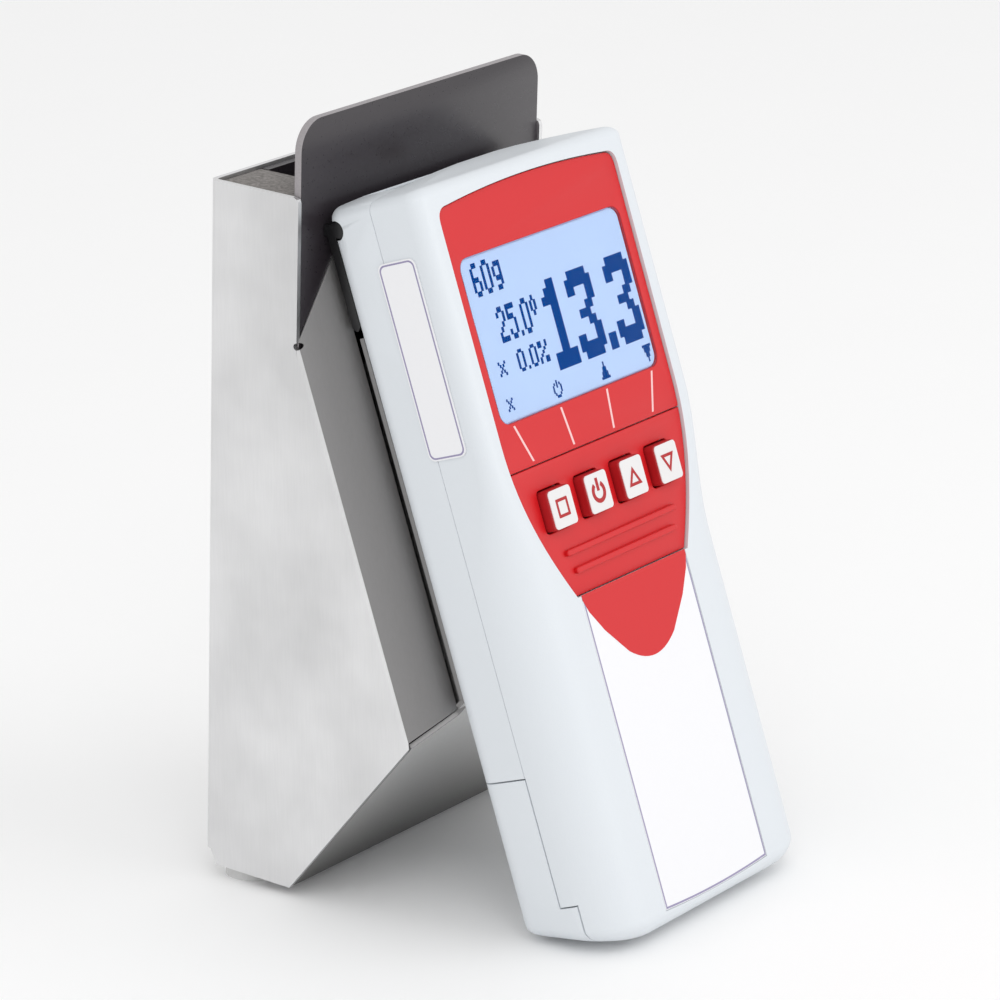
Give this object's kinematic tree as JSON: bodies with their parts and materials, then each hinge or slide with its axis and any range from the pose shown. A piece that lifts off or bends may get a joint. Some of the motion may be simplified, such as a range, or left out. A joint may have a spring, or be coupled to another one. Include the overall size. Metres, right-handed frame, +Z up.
{
  "type": "grain moisture meter",
  "caption": "Tabletop grain moisture meter: an open-topped folded steel sample chamber with a handheld display unit leaning against its front.",
  "frame": {"origin": "centre of the footprint's bounding box, on the floor the meter stands on", "axes": "+Z up, -Y the side with the display, +X across the meter"},
  "size_m": [0.0776, 0.0954, 0.1544],
  "materials": {
    "steel_sheet": "fine brushed stainless",
    "screw_steel": "plated",
    "contact_metal": "plated strip",
    "board_black": "semi-gloss black laminate",
    "spacer_grey": "mottled pressed board",
    "clip_black": "moulded black",
    "foot_clear": "clear polyurethane",
    "shell_white": "fine moulded texture",
    "face_red": "satin red",
    "key_rubber": "red rubber with white tops",
    "window_clear": "clear",
    "lcd": "pale blue backlit display",
    "circuit_green": "solder mask",
    "part_black": "moulded black",
    "label_white": "printed film",
    "tray_grey": "moulded grey",
    "cell_wrap": "plain printed sleeve"
  },
  "bodies": {
    "meter": {"chamber_shell": "steel_sheet", "front_sheet": "steel_sheet", "floor_plate": "steel_sheet", "measuring_board": "board_black", "rear_board": "board_black", "spacer_left": "spacer_grey", "spacer_right": "spacer_grey", "temperature_probe": "screw_steel", "amplifier_board": "circuit_green", "shield_can": "contact_metal", "standoff_left": "screw_steel", "standoff_right": "screw_steel", "sensor_lead": "part_black", "hook_clip": "clip_black", "mount_screw_lower": "screw_steel", "mount_screw_upper": "screw_steel", "foot_left": "foot_clear", "foot_right": "foot_clear", "board_screw_1": "screw_steel", "board_screw_2": "screw_steel", "board_screw_3": "screw_steel", "board_screw_4": "screw_steel", "front_shell": "shell_white", "rear_shell": "shell_white", "display_bezel": "face_red", "keypad_mat": "face_red", "display_window": "window_clear", "lcd_cell": "lcd", "backlight": "label_white", "main_board": "circuit_green", "front_label": "label_white", "side_seal": "label_white", "port_panel": "shell_white", "port_socket": "contact_metal", "battery_tray": "tray_grey", "contact_top_left": "contact_metal", "contact_top_right": "contact_metal", "switch_menu": "part_black", "switch_power": "part_black", "switch_up": "part_black", "switch_down": "part_black", "aa_cell_1": "cell_wrap", "aa_cell_2": "cell_wrap", "aa_cell_3": "cell_wrap", "aa_cell_4": "cell_wrap", "shell_screw_1": "screw_steel", "shell_screw_2": "screw_steel", "shell_screw_3": "screw_steel", "shell_screw_4": "screw_steel"},
    "cover": {"battery_cover": "shell_white", "contact_cover": "contact_metal"},
    "menu_button": {"key_menu": "key_rubber"},
    "power_button": {"key_power": "key_rubber"},
    "up_button": {"key_up": "key_rubber"},
    "down_button": {"key_down": "key_rubber"}
  },
  "joints": [
    {"name": "cover_lift", "type": "slide", "parent": "meter", "child": "cover", "axis": [0, 0.9527, -0.304], "range_m": [0, 0.02]},
    {"name": "menu_press", "type": "slide", "parent": "meter", "child": "menu_button", "axis": [0, 0.9527, -0.304], "range_m": [0, 0.0007], "stiffness_N_per_m": 1500},
    {"name": "power_press", "type": "slide", "parent": "meter", "child": "power_button", "axis": [0, 0.9527, -0.304], "range_m": [0, 0.0007], "stiffness_N_per_m": 1500},
    {"name": "up_press", "type": "slide", "parent": "meter", "child": "up_button", "axis": [0, 0.9527, -0.304], "range_m": [0, 0.0007], "stiffness_N_per_m": 1500},
    {"name": "down_press", "type": "slide", "parent": "meter", "child": "down_button", "axis": [0, 0.9527, -0.304], "range_m": [0, 0.0007], "stiffness_N_per_m": 1500}
  ]
}
